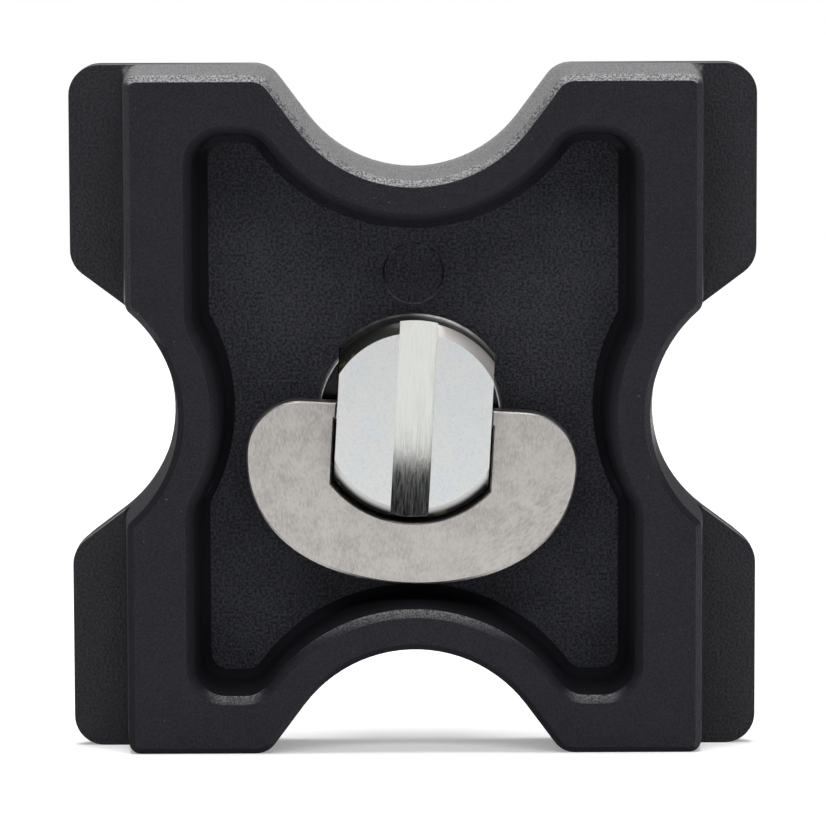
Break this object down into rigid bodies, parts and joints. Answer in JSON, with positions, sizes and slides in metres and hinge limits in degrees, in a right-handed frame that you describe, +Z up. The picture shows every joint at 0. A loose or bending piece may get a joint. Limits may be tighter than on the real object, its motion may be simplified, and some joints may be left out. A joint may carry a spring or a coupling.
{
  "type": "tripod quick release plate",
  "caption": "Square notched plastic quick release plate with a rubber pad, a captive slotted camera screw and a folding half-moon key that lies in the recess of its underside.",
  "frame": {"origin": "on the camera screw's axis, half way along its thread", "axes": "+Z up, with the plate standing on its lower edge as in the picture, +X to the right seen from the tripod side, +Y from the tripod side to the camera side; the plate leans forward, so the screw axis points along +Y and 4 degrees up"},
  "size_m": [0.0454, 0.0172, 0.0456],
  "materials": {
    "plate": "black moulding with a fine spark-eroded grain",
    "pad": "matt black",
    "screw": "plated, matt on the face and bright in the slot and on the side",
    "washer": "black nickel, worn bright round its edge",
    "key": "satin stainless steel with a fine brushed grain",
    "pins": "ground stainless steel"
  },
  "bodies": {
    "plate": {"plate_body": "plate", "grip_pad": "pad"},
    "washer": {"flat_washer": "washer"},
    "screw": {"camera_screw": "screw"},
    "key": {"folding_key": "key", "pivot_pins": "pins"}
  },
  "joints": [
    {"name": "screw_slide", "type": "slide", "parent": "plate", "child": "washer", "axis": [0, -0.9976, -0.0698], "range_m": [0, 0.0015]},
    {"name": "screw_turn", "type": "hinge", "parent": "washer", "child": "screw", "pos_m": [0, 0, 0], "axis": [0, 0.9976, 0.0698], "continuous": true},
    {"name": "key_fold", "type": "hinge", "parent": "screw", "child": "key", "pos_m": [0, -0.00983, -0.00069], "axis": [-0.9984, -0.0039, 0.0557], "range_deg": [0, 180]}
  ]
}
